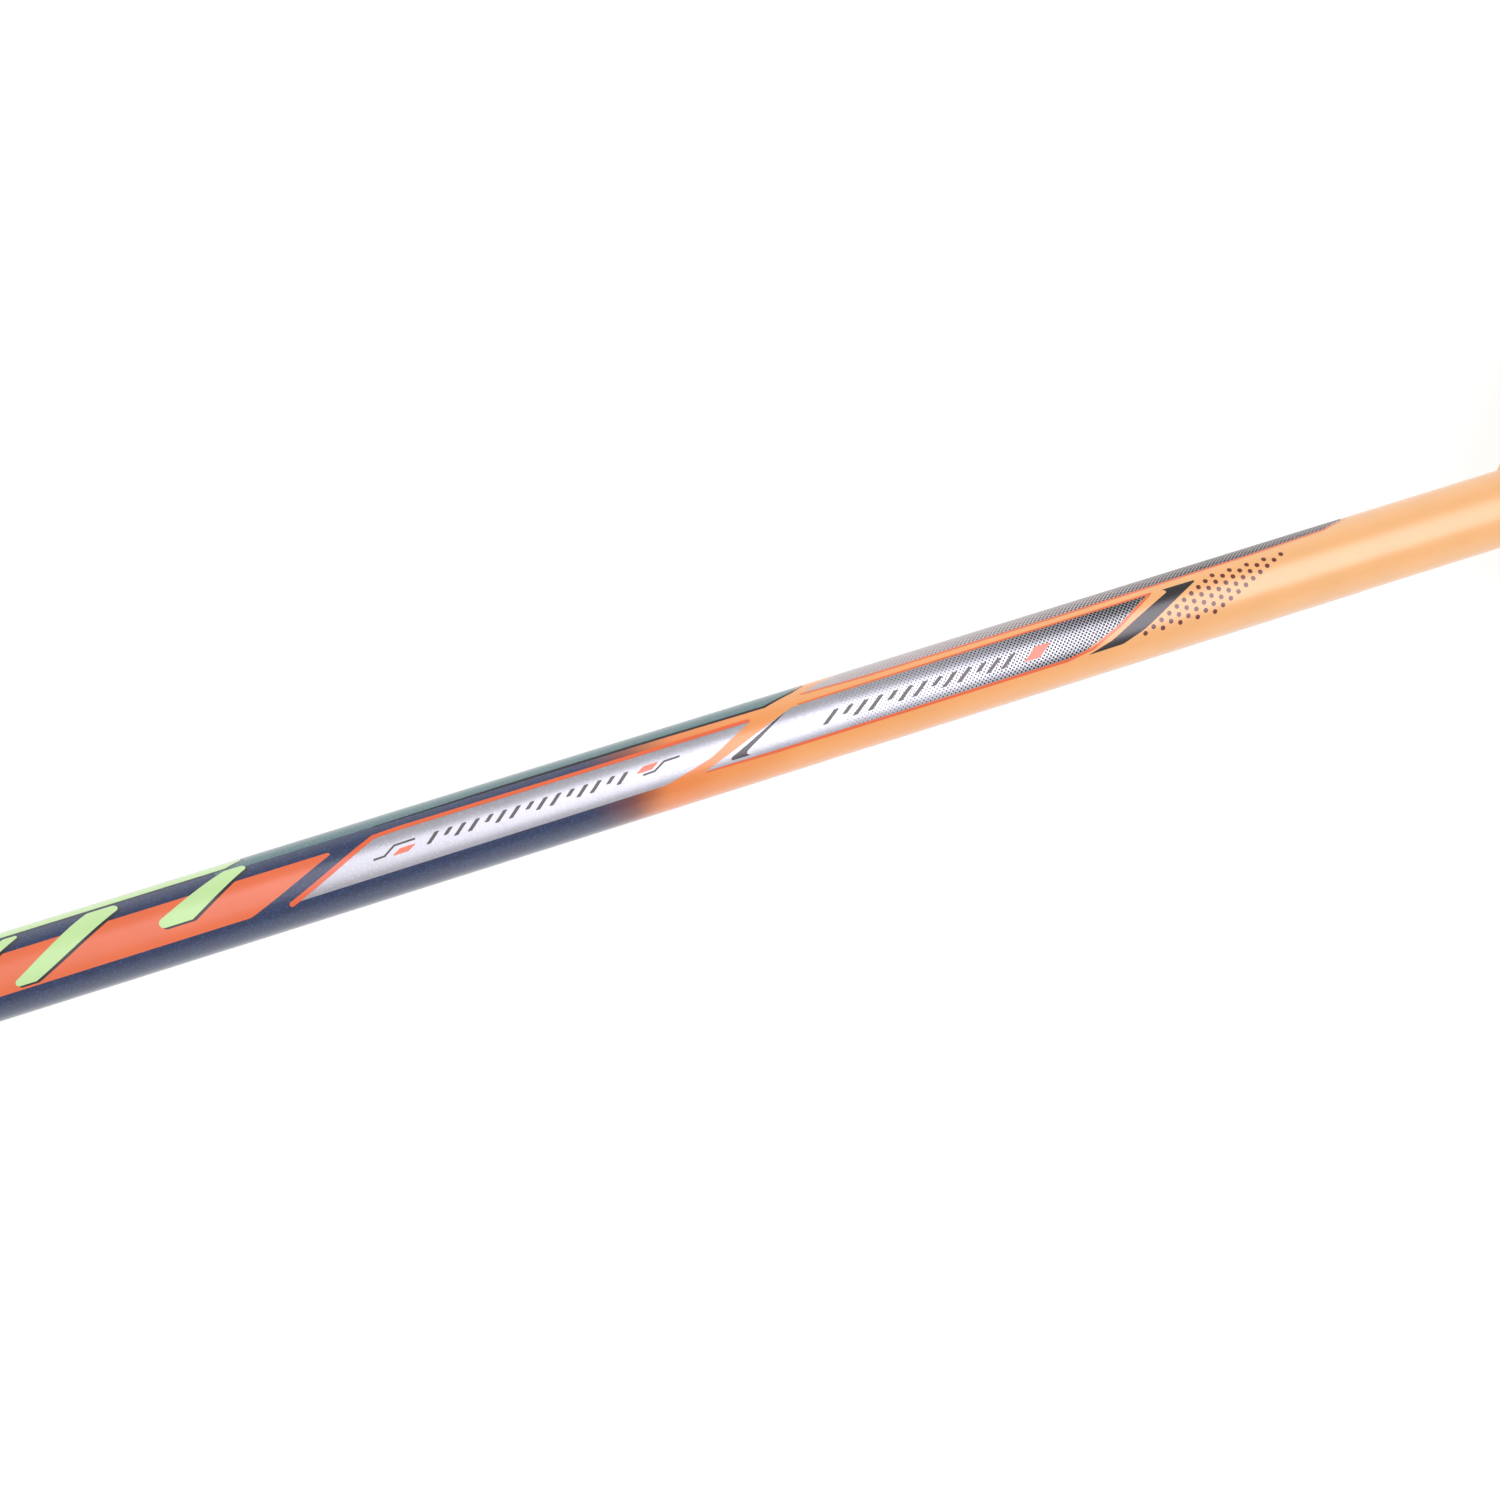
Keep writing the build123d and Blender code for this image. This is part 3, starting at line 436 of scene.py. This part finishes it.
def shaft_graphics():
    """All that is printed on the shaft, from the handle's side to the head's."""
    gloss = {"metallic": 0.0, "roughness": 0.3}
    silver = lacquer("silver_pearl", "b5b3ba", "d3d2d8", 0.2, metallic=0.6, roughness=0.37)
    grey = lacquer("strip_grey", "beb2b2", "d6ced0", 0.2, metallic=0.6, roughness=0.38)
    teal = lacquer("teal_metallic", "4c7276", "7fa3a4", 0.3, metallic=0.5, roughness=0.36)
    orange = lacquer("panel_orange", "f07040", **gloss)
    outline_red = lacquer("outline_red", "f06634", **gloss)
    lime = lacquer("slash_lime", "caeea4", **gloss)
    ink = lacquer("printed_ink", "241f26", **gloss)
    flat_ink = lacquer("flat_ink", "150f12", coat=0.25, **gloss)
    brown_ink = lacquer("mark_ink", "4a3a38", coat=0.5, **gloss)
    slate = lacquer("slash_slate", "2b242a", metallic=0.55, roughness=0.36)
    maroon = lacquer("dot_maroon", "6a2016", **gloss)

    panel = rounded([(241.0, -26.0, 1.2), (293.6, -26.0, 1.6), (302.2, 30.5, 0.15), (249.6, 30.5, 0.3)])
    print_on_shaft("shaft_orange_panel", [panel], 1, orange)
    print_on_shaft("shaft_slash_shadows", bold_slashes(*SHADOW_SHIFT), 2, ink)
    print_on_shaft("shaft_slashes", bold_slashes(), 3, lime)

    teal_strip = rounded([
        (292.0, 52.0, 0), (306.0, 51.5, 0), (318.0, 53.0, 0), (330.0, 52.4, 0), (342.4, 49.8, 0.8),
        (345.4, 64.7, 2.0), (347.3, STRIP_BACK, 0), (292.0, STRIP_BACK, 0),
    ])
    print_on_shaft("shaft_teal_strip", [teal_strip], 1, teal)
    edge = stroke([(306.0, 51.3), (318.0, 52.6), (330.0, 51.8), (342.4, 48.8), (343.5, 54.2), (345.5, 64.2),
                   (346.9, 76.0)],
                  [0.08, 0.26, 0.3, 0.28, 0.26, 0.24, 0.14])
    print_on_shaft("shaft_teal_edge", [edge], 2, flat_ink)

    panel_1 = rounded([
        (297.5, -24.0, 0), (331.6, -22.5, 5.0), (336.1, -3.5, 2.0), (340.6, 30.4, 0), (305.5, 32.0, 0),
    ])
    panel_2 = rounded([
        (335.2, -20.4, 0), (342.0, -22.0, 0), (371.6, -23.0, 2.5), (376.0, 3.0, 5.0), (379.9, 35.0, 0),
        (362.0, 34.2, 0), (344.6, 32.6, 0.8),
    ])
    print_on_shaft("shaft_silver_panels", [panel_1, panel_2], 1, silver)

    outlines = [
        stroke([(297.2, -25.0), (305.6, 33.2), (308.0, 34.8), (322.0, 33.8), (340.3, 32.9)],
               [0.5, 0.38, 0.4, 0.38, 0.34]),
        dot(297.25, -24.6, 0.26),
        dot(340.4, 32.8, 0.18),
        stroke([(335.3, -21.6), (342.0, -23.4), (370.6, -24.4), (373.2, -18.0), (376.3, 2.4), (380.2, 35.0)],
               [0.14, 0.27, 0.28, 0.26, 0.24, 0.14]),
        stroke([(345.2, 34.4), (362.0, 35.8), (380.4, 36.8)], [0.12, 0.17, 0.16]),
        stroke([(346.0, 51.5), (352.0, 47.6), (372.0, 47.8), (391.0, 52.2), (399.0, 57.8), (402.0, 74.0)],
               [0.12, 0.2, 0.2, 0.19, 0.19, 0.12]),
    ]
    print_on_shaft("shaft_outlines", outlines, 3, outline_red)

    grey_strip = rounded([
        (346.4, 53.6, 0), (352.6, 48.2, 3.0), (372.0, 48.4, 0), (391.0, 52.8, 0), (398.8, 58.6, 2.0),
        (401.6, 76.0, 1.5), (401.8, STRIP_BACK, 0), (351.6, STRIP_BACK, 0),
    ])
    print_on_shaft("shaft_grey_strip", [grey_strip], 1, grey)

    dots = halftone(panel_2, 349.0, 376.0, 0.04, 0.145)
    dots += halftone(grey_strip, 350.0, 386.0, 0.035, 0.15)
    print_on_shaft("shaft_halftone", dots, 2, flat_ink, sliced=False)

    wedge = rounded([
        (343.9, 28.2, 0), (342.8, 21.6, 0), (341.1, 9.9, 3.0), (339.7, 0.2, 3.0), (337.8, -12.6, 0.3),
        (337.8, -16.4, 0.2), (339.6, -16.8, 0), (339.2, -13.0, 0.3), (339.5, -8.6, 1.0), (341.5, 8.0, 0),
    ])
    print_on_shaft("shaft_wedge", [wedge], 3, slate)
    blade = rounded([
        (372.7, -26.0, 0), (376.2, -25.5, 1.5), (378.6, -13.0, 3.0), (385.1, 36.6, 0.1), (381.5, 37.0, 0),
        (381.9, 31.2, 0.2), (377.4, 1.0, 4.0), (375.2, -15.0, 3.0),
    ])
    print_on_shaft("shaft_blade", [blade], 2, slate)

    spots = [
        dot(378.5 + 1.78 * column + 0.9 * row, -20.0 + 6.1 * row, 0.23, 14)
        for row, column in product(range(10), range(5))
    ]
    print_on_shaft("shaft_spots", spots, 1, maroon, sliced=False)

    ticks = tick_row(309.6, 1.25, 15, 1.1, 0.46, -1.0, 13.0)
    ticks += tick_row(346.6, 1.45, 13, 1.5, 0.54, -7.0, 10.0)
    brackets = [
        stroke([(304.9, 0.5), (305.9, 1.0), (307.0, 11.5), (308.9, 12.0)], [0.17] * 4),
        stroke([(329.7, 1.5), (330.8, 2.0), (331.9, 11.5), (333.4, 12.0)], [0.17] * 4),
    ]
    print_on_shaft("shaft_marks", ticks + brackets, 3, brown_ink)
    dashes = [
        slash(306.5, 0.9, 1.5, -2.0, 5.5),
        slash(329.1, 0.9, 1.5, 5.5, 13.5),
        slash(366.4, 1.5, 1.6, -7.0, 10.0),
    ]
    print_on_shaft("shaft_dashes", dashes, 3, outline_red)


# ---------------------------------------------------------------- the wound grip
HANDLE_Y, HANDLE_Z = 11.5, 10.2  # the handle's half width and half thickness
BUTT_Y, BUTT_Z = 13.3, 12.0  # the same at the butt
FLARE_LENGTH = 38.0
CORNER_SHARE = 0.30  # how much the octagon's slanted sides cut from the corners
SOFT_OCTAGON, CRISP_OCTAGON = 24, 200  # the wound strip's outside, and its inside on the wood

GRIP_PITCH = 22.0
GRIP_LINES = 96
BEAD = [  # across the strip: the share of the pitch, and the height over the wood
    (0.0, 1.02), (0.02, 1.10), (0.06, 1.20), (0.11, 1.26), (0.17, 1.28), (0.23, 1.28), (0.29, 1.28),
    (0.35, 1.28), (0.41, 1.28), (0.47, 1.28), (0.53, 1.28), (0.59, 1.28), (0.65, 1.28), (0.71, 1.29),
    (0.77, 1.32), (0.83, 1.40), (0.88, 1.50), (0.93, 1.58), (0.965, 1.58), (0.985, 1.50), (0.995, 1.34),
]
HOLE_BEADS = range(4, 14, 3)  # the places across the strip that have air holes
HOLE_EVERY = 4  # of the lines round the handle
HOLE_WALL = 0.12  # the rim round an air hole
HOLE_TAPER = 0.06
HOLE_DEPTH = 0.45
INNER_RINGS = 24
INNER_LINES = 64
INNER_SPREAD = 1.6  # puts more of the inner rings near the butt, where the handle flares


def handle_reach(x, turn, thickness, sharp):
    """How far the wound surface is from the axis: a rounded octagon, flared towards the butt."""
    flare = (1 + math.cos(math.pi * min(x, FLARE_LENGTH) / FLARE_LENGTH)) / 2
    half_y = HANDLE_Y + (BUTT_Y - HANDLE_Y) * flare
    half_z = HANDLE_Z + (BUTT_Z - HANDLE_Z) * flare
    sine, cosine = abs(math.sin(turn)), abs(math.cos(turn))
    corner = (half_y + half_z) * (1 - CORNER_SHARE) + thickness * math.sqrt(2)
    parts = (sine / (half_y + thickness), cosine / (half_z + thickness), (sine + cosine) / corner)
    return sum(part ** sharp for part in parts) ** (-1 / sharp)


def on_handle(x, turn, thickness, sharp=SOFT_OCTAGON):
    """The point of the wound surface at that place along the handle and that turn round it."""
    reach = handle_reach(x, turn, thickness, sharp)
    return Vector((x, reach * math.sin(turn), reach * math.cos(turn)))


def wound_strip(bm, start, end):
    """The strip's outside as one helix of faces. Gives back those that get an air hole."""
    turns = math.ceil((end - start) / GRIP_PITCH) + 1
    rows = []
    for turn_number, (phase, thickness) in product(range(turns + 1), BEAD):
        row = []
        for i in range(GRIP_LINES):
            x = start + GRIP_PITCH * (turn_number - 1 + phase + i / GRIP_LINES)
            row.append(bm.verts.new(on_handle(x, 2 * math.pi * i / GRIP_LINES, thickness)))
        rows.append(row)
    holes = []
    for number in range(len(rows) - 1):
        for i in range(GRIP_LINES):
            low, high = rows[number], rows[number + 1]
            if i + 1 < GRIP_LINES:
                corners = (low[i], high[i], high[i + 1], low[i + 1])
            elif number + 1 + len(BEAD) < len(rows):
                corners = (low[i], high[i], rows[number + 1 + len(BEAD)][0], rows[number + len(BEAD)][0])
            else:
                continue
            face = bm.faces.new(corners)
            bead = number % len(BEAD)
            if bead in HOLE_BEADS and (i + bead // 3 * 2) % HOLE_EVERY == 0:
                holes.append(face)
    return [face for face in holes if all(start + 1 < v.co.x < end - 1 for v in face.verts)]


def build_grip():
    """One strip wound in a helix, each turn lying on the edge of the one before, with small air holes."""
    start, end = GRIP_LOW.x, GRIP_HIGH.x
    bm = bmesh.new()
    holes = wound_strip(bm, start, end)
    bmesh.ops.inset_individual(bm, faces=holes, thickness=HOLE_WALL, depth=0.0)
    bmesh.ops.inset_individual(bm, faces=holes, thickness=HOLE_TAPER, depth=-HOLE_DEPTH)
    for x, side in ((start, -1), (end, 1)):
        everything = bm.verts[:] + bm.edges[:] + bm.faces[:]
        plane = {"plane_co": (x, 0, 0), "plane_no": (side, 0, 0)}
        bmesh.ops.bisect_plane(bm, geom=everything, clear_outer=True, **plane)
    loose = [v for v in bm.verts if not v.link_faces]
    bmesh.ops.delete(bm, geom=loose, context="VERTS")
    inner = []
    for step in range(INNER_RINGS + 1):
        x = start + (end - start) * (step / INNER_RINGS) ** INNER_SPREAD
        turns = [2 * math.pi * i / INNER_LINES for i in range(INNER_LINES)]
        inner.append([bm.verts.new(on_handle(x, turn, 0.0, CRISP_OCTAGON)) for turn in turns])
    for low, high in zip(inner, inner[1:]):
        for i in range(INNER_LINES):
            j = (i + 1) % INNER_LINES
            bm.faces.new((low[i], high[i], high[j], low[j]))
    for x in (start, end):
        rim = [e for e in bm.edges if e.is_boundary and all(abs(v.co.x - x) < 1e-4 for v in e.verts)]
        bmesh.ops.bridge_loops(bm, edges=rim)
    bmesh.ops.recalc_face_normals(bm, faces=bm.faces[:])
    tack = Material("grip_pu", roughness=0.55, specular_ior_level=0.4)
    worn = tack.span(tack.noise(45.0, 4.0), 0.35, 0.7)
    tack.set("Base Color", tack.mix(worn, rgb("22283c"), rgb("2c3350")))
    tack.set("Roughness", tack.span(tack.noise(420.0, 3.0), 0.3, 0.7, 0.46, 0.66))
    tack.bump(tack.noise(3200.0, 3.0, 0.6), 0.00005, 0.5)
    piece = finish_piece("grip_winding", bm, tack.data, replaces=["grip_wrap"])
    piece.data.set_sharp_from_angle(angle=math.radians(38))


# ---------------------------------------------------------------- frame, throat and strings
HEAD_CENTRE = 560.0
HOOP_FADE = (555.0, 605.0)  # where the orange turns navy
BAR_MIDDLE = 0.1  # metres from the head's centre, where a bar is at the angles given below
BAR_LEAN = 380.0  # degrees for each metre further out
HOOP_FACE = 0.0026  # metres from the middle plane, beyond which the bars are printed
HOOP_BARS = (  # degrees round the head's centre from the crown, start and end, and the colour
    (44.0, 46.0, "b4dd8c"), (47.0, 49.0, "b4dd8c"), (50.0, 52.0, "b4dd8c"), (90.5, 93.0, "5a8486"),
    (94.2, 95.2, "ee6030"), (96.2, 117.8, "ee6030"), (96.9, 117.1, "c2bfcc"), (119.0, 122.0, "2d2a34"),
    (122.9, 124.6, "2d2a34"), (125.4, 126.4, "2d2a34"),
)


def frame_tint(paint):
    """Orange from the throat up the flanks, fading to navy round the crown."""
    share = paint.span(hazy_reach(paint, 60.0, 4.0), *(x * MM for x in HOOP_FADE), kind="SMOOTHSTEP")
    colour = paint.mix(share, rgb("f7a862"), flaked_navy(paint))
    out = paint.math("ABSOLUTE", paint.axis("Y"))
    ahead = paint.math("SUBTRACT", paint.axis("X"), HEAD_CENTRE * MM)
    lean = paint.math("MULTIPLY", paint.math("SUBTRACT", paint.distance(out, ahead), BAR_MIDDLE), BAR_LEAN)
    turn = paint.math("MULTIPLY", paint.math("ARCTAN2", out, ahead), 180 / math.pi)
    place = paint.math("ADD", turn, lean)
    face = paint.math("GREATER_THAN", paint.math("ABSOLUTE", paint.axis("Z")), HOOP_FACE)
    for start, end, code in HOOP_BARS:
        after = paint.math("GREATER_THAN", place, start)
        before = paint.math("LESS_THAN", place, end)
        covered = paint.math("MULTIPLY", paint.math("MULTIPLY", after, before), face)
        colour = paint.mix(covered, colour, rgb(code))
    return colour


def plastic(name, colour, second, roughness, grain_scale, grain_depth, coat=0.0):
    """Moulded plastic with a slight cloudiness and a fine moulded grain."""
    made = Material(name, roughness=roughness, coat_weight=coat, coat_roughness=0.12)
    cloud = made.span(made.noise(120.0, 4.0), 0.35, 0.65)
    made.set("Base Color", made.mix(cloud, rgb(colour), rgb(second)))
    made.set("Roughness", made.span(made.noise(900.0, 2.0), 0.3, 0.7, roughness - 0.06, roughness + 0.08))
    made.bump(made.noise(grain_scale, 3.0), grain_depth, 0.4)
    return made.data


def string_material():
    """Coated multifilament: pale grey, slightly cloudy."""
    made = Material("string_coating", roughness=0.34, coat_weight=0.4, coat_roughness=0.15)
    made.set("Subsurface Weight", 0.08)
    made.set("Subsurface Radius", (0.0004, 0.0004, 0.0004))
    cloud = made.span(made.noise(700.0, 3.0), 0.3, 0.7)
    made.set("Base Color", made.mix(cloud, rgb("c3cac6"), rgb("a9b2b4")))
    made.bump(made.noise(5200.0, 2.0, 0.6), 0.00002, 0.35)
    return made.data


def wood():
    """Pale wood with its grain along the handle."""
    made = Material("handle_wood", roughness=0.62)
    stretch = {"Vector": made.place, "Scale": (12.0, 160.0, 160.0)}
    stretched = made.add("ShaderNodeMapping", stretch).outputs[0]
    grain = made.span(made.noise(3.0, 6.0, 0.6, stretched), 0.35, 0.65)
    made.set("Base Color", made.mix(grain, rgb("d3ab78"), rgb("a97c4c")))
    made.bump(grain, 0.0001, 0.4)
    return made.data


def metal(name, colour, roughness):
    """Bare metal, slightly cloudy in colour and gloss."""
    made = Material(name, metallic=1.0, roughness=roughness)
    made.set("Base Color", made.mix(made.noise(400.0, 3.0), rgb(colour), rgb("d8d8dc")))
    made.set("Roughness", made.span(made.noise(1500.0), 0.3, 0.7, roughness - 0.08, roughness + 0.1))
    return made.data


RING = (7.8 * MM, 0.5 * MM)  # the orange ring's middle radius and half width
DASH_RING = (5.5 * MM, 0.9 * MM)
DISC = 3.4 * MM
DASHES = 24


def label_foil():
    """Silver foil printed with plain rings and a ring of short dashes."""
    foil = Material("label_foil", roughness=0.25, coat_weight=1.0, coat_roughness=0.06)
    y, z = foil.axis("Y"), foil.axis("Z")
    reach = foil.distance(y, z)
    turn = foil.math("ARCTAN2", y, z)
    orange = foil.math("COMPARE", reach, *RING)
    dash = foil.math("GREATER_THAN", foil.math("SINE", foil.math("MULTIPLY", turn, DASHES)), 0.1)
    dashes = foil.math("MULTIPLY", foil.math("COMPARE", reach, *DASH_RING), dash)
    ink = foil.math("MAXIMUM", foil.math("LESS_THAN", reach, DISC), dashes)
    cloud = foil.span(foil.noise(500.0, 3.0), 0.3, 0.7)
    base = foil.mix(orange, foil.mix(cloud, rgb("c9c6d4"), rgb("b6b2c4")), rgb("ee7a3c"))
    foil.set("Base Color", foil.mix(ink, base, rgb("20284a")))
    bare = foil.math("SUBTRACT", 1.0, foil.math("MAXIMUM", ink, orange))
    foil.set("Metallic", foil.math("MULTIPLY", bare, 0.8))
    return foil.data


def dress(node, material):
    """Gives a CAD node its material."""
    slots = NODES[node].data.materials
    slots.clear()
    slots.append(material)


def dress_cad_nodes():
    """Materials for the CAD nodes that keep their own shape."""
    frame_paint = lacquer("frame_lacquer", roughness=0.36, tint=frame_tint)
    throat_paint = lacquer("throat_lacquer", "f8ba7a", "ffd9a8", 0.12, roughness=0.36)
    nylon = plastic("grommet_nylon", "16161a", "24242a", 0.42, 2600.0, 0.00002)
    coating = string_material()
    dress("head_frame", frame_paint)
    dress("throat_shell", throat_paint)
    for place in ("crown", "left", "right", "throat"):
        dress(f"{place}_grommets", nylon)
    dress("throat_sleeves", nylon)
    for node in ("main_string", "cross_string", "string_knots"):
        dress(node, coating)
    dress("t_joint", metal("joint_alloy", "9a9aa0", 0.4))
    dress("grip_staples", metal("staple_wire", "b8b8bc", 0.25))
    dress("shaft_plug", plastic("plug_foam", "d8d4c8", "c4c0b2", 0.85, 1800.0, 0.0001))
    dress("handle_core", wood())
    dress("cone_cap", plastic("cone_plastic", "1b2342", "222c50", 0.2, 1500.0, 0.00001, coat=0.8))
    dress("butt_cap", plastic("cap_plastic", "1a2140", "20284a", 0.42, 2400.0, 0.00004))
    dress("butt_label", label_foil())
    dress("grip_tape", plastic("finishing_tape", "ee8a48", "e67f40", 0.4, 1300.0, 0.00004))


# ---------------------------------------------------------------- stage, light and camera
AIM_X = 339.2  # the place along the racket that the camera and the lamp aim at

FLOOR_GLOW = 0.95  # keeps the floor nearly white without washing out the racket
FLOOR_RINGS = (0.0, 300.0, 700.0, 1500.0, 4000.0, 8000.0, 9500.0, 11000.0, 12000.0, 12600.0)
FLOOR_SIDES = 96
CURL_START = 8000.0
CURL_RISE = 3200.0

WORLD_GLOW = (0.27, 0.65)  # at the horizon and overhead
LAMP_PLACE = (0.746, 0.03, 0.868)
LAMP_SIZE = (0.98, 0.34)
LAMP_POWER = 5.5
LAMP_COLOUR = (0.98, 0.98, 1.07)

DISTANCE = 394.0  # from the camera to its aim
TILT = math.radians(19.0)  # from straight overhead towards the handle
ROLL = math.radians(17.38)  # how steeply the shaft rises in the view
AIM_DROP = 0.61  # lifts the shaft this much in the view
FOCAL = 108.7


def build_floor():
    """A pale round floor that the butt cap's flare and the crown rest on, curling up far away."""
    low = CAD_BOX[0][2] / MM
    crown_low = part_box("head_frame")[0].z / MM
    slope = (crown_low - low) / CROWN
    bm = bmesh.new()
    grid = []
    for reach in FLOOR_RINGS:
        rise = CURL_RISE * max(0, (reach - CURL_START) / (FLOOR_RINGS[-1] - CURL_START)) ** 2
        turns = [2 * math.pi * i / FLOOR_SIDES for i in range(FLOOR_SIDES)]
        places = [(AIM_X + reach * math.cos(t), reach * math.sin(t)) for t in turns]
        grid.append([bm.verts.new((x, y, low + slope * x + rise)) for x, y in places])
    for inner, outer in zip(grid, grid[1:]):
        for i in range(FLOOR_SIDES):
            j = (i + 1) % FLOOR_SIDES
            bm.faces.new((inner[i], outer[i], outer[j], inner[j]))
    bmesh.ops.remove_doubles(bm, verts=bm.verts[:], dist=0.001)
    paper = Material("floor_paper", roughness=0.9)
    paper.set("Base Color", rgb("747474"))
    paper.set("Emission Color", paper.mix(paper.noise(6.0, 3.0), rgb("f4f4f4"), rgb("fafafa")))
    paper.set("Emission Strength", FLOOR_GLOW)
    floor = smooth_object("floor", bm, paper.data)


def build_lamp():
    """One broad, faintly blue softbox over the shaft, across it."""
    data = bpy.data.lights.new("overhead_softbox", "AREA")
    data.shape = "RECTANGLE"
    data.size, data.size_y = LAMP_SIZE
    data.energy = LAMP_POWER
    data.color = LAMP_COLOUR
    lamp = bpy.data.objects.new("overhead_softbox", data)
    bpy.context.scene.collection.objects.link(lamp)
    lamp.location = LAMP_PLACE
    way = Vector((AIM_X * MM, 0, 0)) - Vector(LAMP_PLACE)
    lamp.rotation_euler = way.to_track_quat("-Z", "Y").to_euler()


def build_world():
    """A white surrounding that is brighter overhead than at the horizon."""
    world = bpy.data.worlds.new("studio")
    bpy.context.scene.world = world
    world.use_nodes = True
    nodes, links = world.node_tree.nodes, world.node_tree.links
    background = nodes["Background"]
    background.inputs["Color"].default_value = (1, 1, 1, 1)
    split = nodes.new("ShaderNodeSeparateXYZ")
    glow = nodes.new("ShaderNodeMapRange")
    glow.inputs["To Min"].default_value, glow.inputs["To Max"].default_value = WORLD_GLOW
    links.new(nodes.new("ShaderNodeTexCoord").outputs["Generated"], split.inputs[0])
    links.new(split.outputs["Z"], glow.inputs["Value"])
    links.new(glow.outputs["Result"], background.inputs["Strength"])


def build_camera():
    """Looks down along the shaft from the handle's side, turned so that the head is up and right."""
    forward = Vector((math.sin(TILT), 0, -math.cos(TILT)))
    along = Vector((math.cos(TILT), 0, math.sin(TILT)))
    across = Vector((0, 1, 0))
    right = math.cos(ROLL) * along - math.sin(ROLL) * across
    up = math.sin(ROLL) * along + math.cos(ROLL) * across
    aim = Vector((AIM_X, 0, 0)) - up * AIM_DROP
    data = bpy.data.cameras.new("camera")
    data.lens = FOCAL
    data.sensor_width = 36.0
    camera = bpy.data.objects.new("camera", data)
    bpy.context.scene.collection.objects.link(camera)
    turn = Matrix((right, up, -forward)).transposed().to_4x4()
    camera.matrix_world = Matrix.Translation((aim - forward * DISTANCE) * MM) @ turn
    bpy.context.scene.camera = camera


build_shaft()
shaft_graphics()
build_grip()
dress_cad_nodes()
build_floor()
build_world()
build_lamp()
build_camera()
bpy.context.scene.view_settings.view_transform = "Standard"
bpy.context.scene.view_settings.look = "None"
